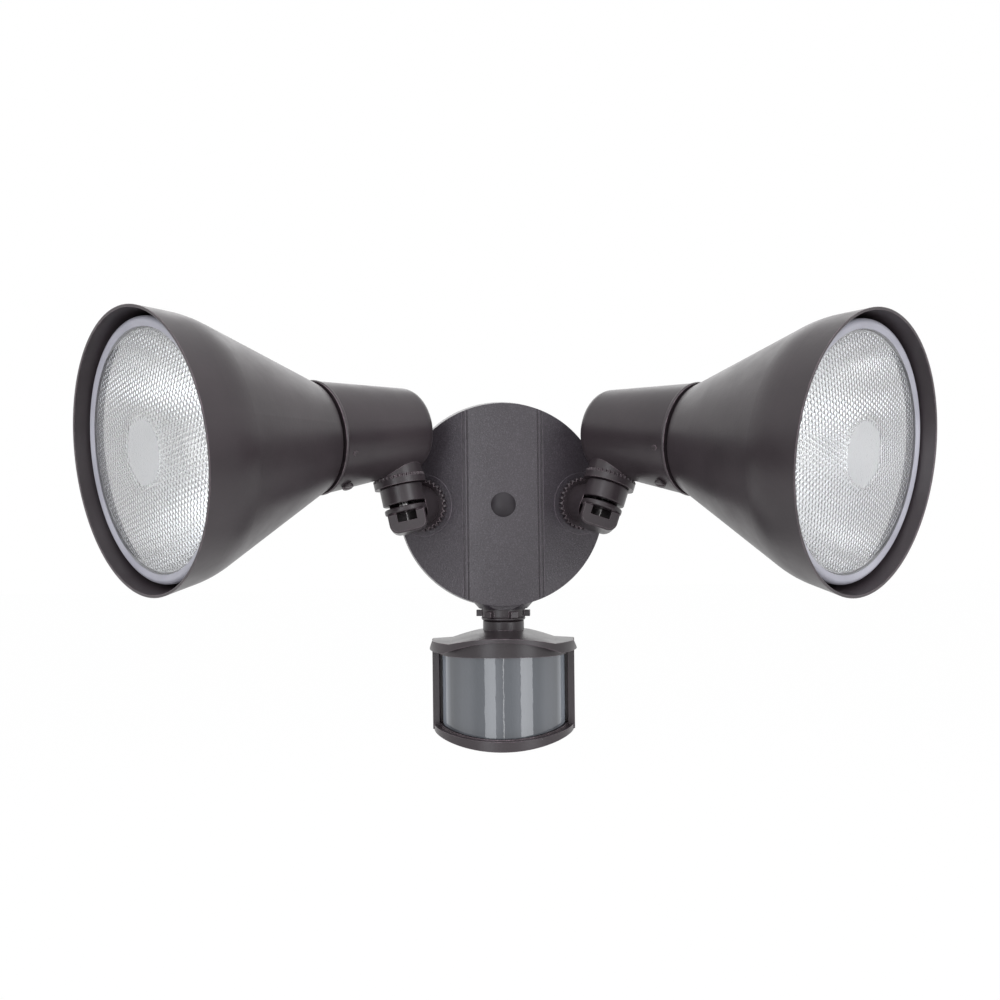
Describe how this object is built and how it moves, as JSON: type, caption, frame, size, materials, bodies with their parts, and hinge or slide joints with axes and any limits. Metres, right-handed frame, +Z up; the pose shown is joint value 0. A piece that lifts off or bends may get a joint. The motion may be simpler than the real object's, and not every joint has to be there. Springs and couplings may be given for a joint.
{
  "type": "motion sensor security light",
  "caption": "Wall light with round canopy, aimed reflector lamps in long cone shades on clamped knuckles, and a hooded motion sensor hanging below.",
  "frame": {"origin": "middle of the wall plane behind the canopy, where the strap lies on the wall box", "axes": "+X to the viewer's right, +Y into the wall, +Z up"},
  "size_m": [0.419, 0.1815, 0.2158],
  "materials": {
    "bronze_paint": "satin dark bronze",
    "textured_bronze": "fine textured dark bronze",
    "pale_foam": "closed-cell foam",
    "dark_rubber": "matt",
    "zinc_steel": "zinc plated",
    "dark_steel": "blackened",
    "green_steel": "green earth screw",
    "porcelain": "glazed",
    "brass": "pressed sheet",
    "silvered_glass": "silvered inside",
    "clear_glass": "stippled clear",
    "capsule_glass": "clear quartz",
    "black_glass": "insulator",
    "smoked_lens": "smoked gloss",
    "green_board": "solder mask",
    "amber_cell": "clear coat",
    "black_plastic": "moulded"
  },
  "bodies": {
    "wall_side": {"canopy": "textured_bronze", "wall_gasket": "pale_foam", "mounting_strap": "zinc_steel", "mounting_screw": "zinc_steel", "centre_plug": "dark_rubber", "ground_screw": "green_steel", "left_arm_locknut": "bronze_paint", "right_arm_locknut": "bronze_paint", "sensor_locknut": "bronze_paint", "sensor_stem": "bronze_paint", "stem_clip": "zinc_steel"},
    "left_arm_assembly": {"left_arm": "bronze_paint", "left_knuckle_cap": "bronze_paint", "left_clamp_nut": "dark_steel", "left_clamp_screw": "dark_steel"},
    "left_lamp": {"left_lock_ring": "bronze_paint", "left_lampholder": "bronze_paint", "left_socket": "porcelain", "left_screw_shell": "brass", "left_centre_contact": "brass", "left_lamp_gasket": "dark_rubber", "left_shade": "bronze_paint", "left_shade_screws": "bronze_paint"},
    "left_bulb": {"left_bulb_reflector": "silvered_glass", "left_bulb_lens": "clear_glass", "left_bulb_capsule": "capsule_glass", "left_bulb_base": "brass", "left_bulb_contact": "black_glass"},
    "right_arm_assembly": {"right_arm": "bronze_paint", "right_knuckle_cap": "bronze_paint", "right_clamp_nut": "dark_steel", "right_clamp_screw": "dark_steel"},
    "right_lamp": {"right_lock_ring": "bronze_paint", "right_lampholder": "bronze_paint", "right_socket": "porcelain", "right_screw_shell": "brass", "right_centre_contact": "brass", "right_lamp_gasket": "dark_rubber", "right_shade": "bronze_paint", "right_shade_screws": "bronze_paint"},
    "right_bulb": {"right_bulb_reflector": "silvered_glass", "right_bulb_lens": "clear_glass", "right_bulb_capsule": "capsule_glass", "right_bulb_base": "brass", "right_bulb_contact": "black_glass"},
    "sensor_head": {"sensor_case": "bronze_paint", "sensor_back": "bronze_paint", "sensor_screws": "zinc_steel", "sensor_lens": "smoked_lens", "circuit_board": "green_board", "heat_detector": "zinc_steel", "light_cell": "amber_cell", "relay": "black_plastic", "capacitor": "black_plastic"},
    "range_control": {"range_knob": "black_plastic"},
    "time_control": {"time_switch": "black_plastic"}
  },
  "joints": [
    {"name": "left_arm_swivel", "type": "hinge", "parent": "wall_side", "child": "left_arm_assembly", "pos_m": [-0.04275, -0.01939, 0], "axis": [-0.4226, -0.9063, 0], "range_deg": [-10, 90]},
    {"name": "left_lamp_turn", "type": "hinge", "parent": "left_arm_assembly", "child": "left_lamp", "pos_m": [-0.05209, -0.03942, 0], "axis": [0.2085, -0.0972, -0.9732], "range_deg": [-40, 5]},
    {"name": "left_bulb_out", "type": "slide", "parent": "left_lamp", "child": "left_bulb", "axis": [-0.7547, -0.6489, -0.0969], "range_m": [0, 0.032]},
    {"name": "right_arm_swivel", "type": "hinge", "parent": "wall_side", "child": "right_arm_assembly", "pos_m": [0.04275, -0.01939, 0], "axis": [-0.4226, 0.9063, 0], "range_deg": [-18, 82]},
    {"name": "right_lamp_turn", "type": "hinge", "parent": "right_arm_assembly", "child": "right_lamp", "pos_m": [0.05209, -0.03942, 0], "axis": [0.3263, 0.1521, 0.933], "range_deg": [-34, 11]},
    {"name": "right_bulb_out", "type": "slide", "parent": "right_lamp", "child": "right_bulb", "axis": [0.6726, -0.7309, -0.116], "range_m": [0, 0.032]},
    {"name": "sensor_pan", "type": "hinge", "parent": "wall_side", "child": "sensor_head", "pos_m": [0, -0.016, -0.066], "axis": [0, 0, 1], "range_deg": [-34, 42]},
    {"name": "range_knob_turn", "type": "hinge", "parent": "sensor_head", "child": "range_control", "pos_m": [-0.01222, -0.04021, -0.123], "axis": [0, 0, 1], "range_deg": [0, 270]},
    {"name": "time_switch_slide", "type": "slide", "parent": "sensor_head", "child": "time_control", "axis": [0.9976, -0.0698, 0], "range_m": [0, 0.008]}
  ]
}
